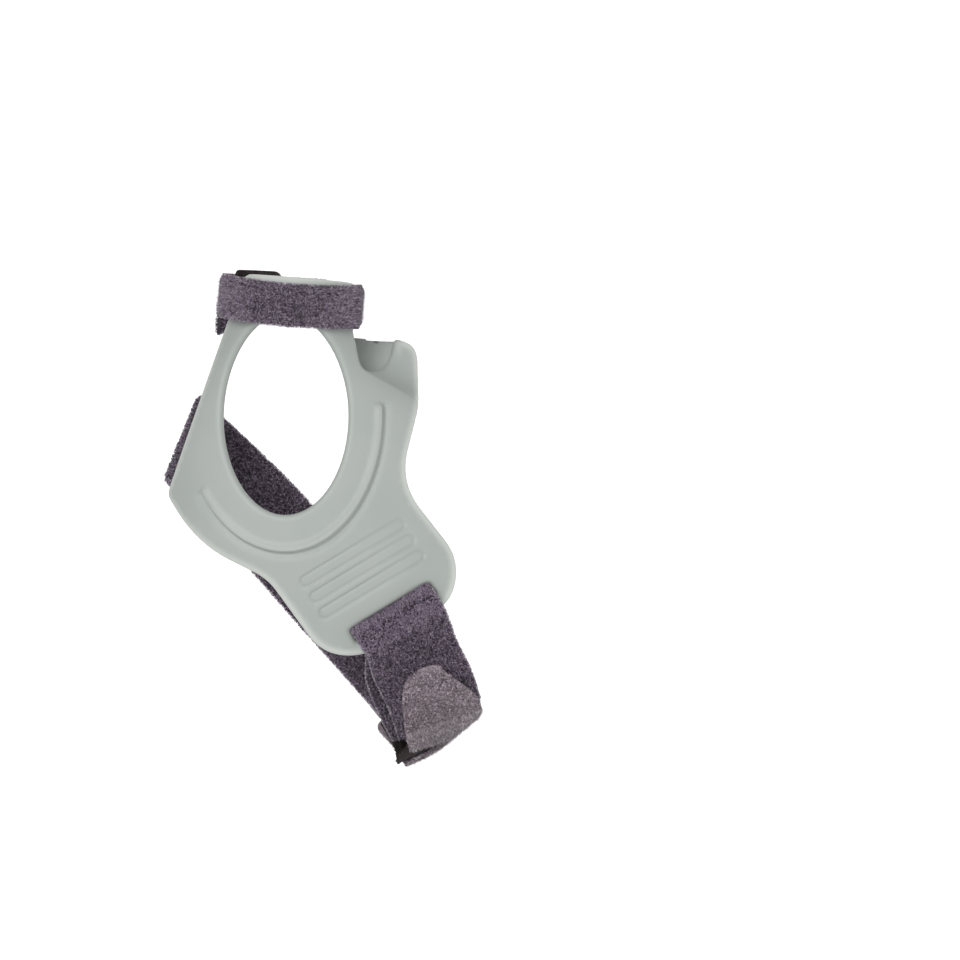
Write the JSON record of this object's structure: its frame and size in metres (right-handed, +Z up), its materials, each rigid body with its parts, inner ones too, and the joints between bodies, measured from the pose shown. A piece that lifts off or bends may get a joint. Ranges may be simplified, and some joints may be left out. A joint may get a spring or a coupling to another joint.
{
  "type": "thumb brace",
  "caption": "Rigid curved thumb support with an oval window, a collar at the thumb and a slotted palm paddle, held by a wound thumb strap and a hand strap with a hook tab.",
  "frame": {"origin": "centre of the oval window over the ball of the thumb, at the outer face of the shell", "axes": "+Z up along the thumb, +X towards the fingers, -Y out of the palm towards the viewer"},
  "size_m": [0.077, 0.0466, 0.1192],
  "materials": {
    "shell_plastic": "satin moulded grey plastic",
    "loop_pile": "fuzzy mauve-grey loop pile",
    "tab_felt": "light grey brushed felt",
    "hook_tape": "black hook tape"
  },
  "bodies": {
    "root": {"shell": "shell_plastic", "hand_strap": "loop_pile", "hook_tab": "tab_felt", "tab_hooks": "hook_tape", "thumb_strap": "loop_pile", "thumb_hooks": "hook_tape"}
  },
  "joints": []
}
